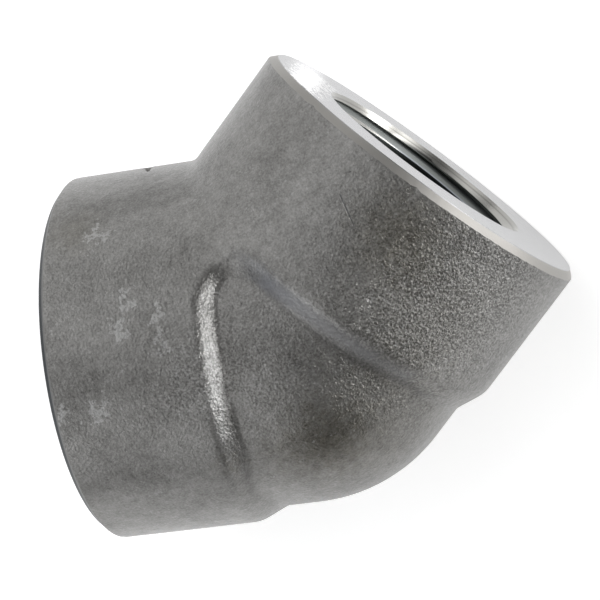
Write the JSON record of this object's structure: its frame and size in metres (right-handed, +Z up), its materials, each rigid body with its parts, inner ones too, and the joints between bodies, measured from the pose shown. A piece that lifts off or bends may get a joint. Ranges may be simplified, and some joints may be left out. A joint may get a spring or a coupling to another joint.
{
  "type": "threaded pipe elbow",
  "caption": "Forged steel 45 degree pipe elbow with a taper-threaded socket in each end, a low body between raised round hubs, and a drilled waterway.",
  "frame": {"origin": "under the middle of the part, on the surface that the elbow rests on, lying on its heel and the inner ends of both hubs", "axes": "+Z up; +X towards the right hub, square to the mirror plane between the hubs; +Y from the heel towards the throat, and level, while the plane of the two hub axes is tipped back 25.1 degrees, so that it rises from the heel to the throat"},
  "size_m": [0.0796, 0.063, 0.0587],
  "materials": {
    "forged_steel": "grit-blasted dark grey forging skin, bright turned end faces, chamfers and threads"
  },
  "bodies": {
    "root": {"elbow_body": "forged_steel"}
  },
  "joints": []
}
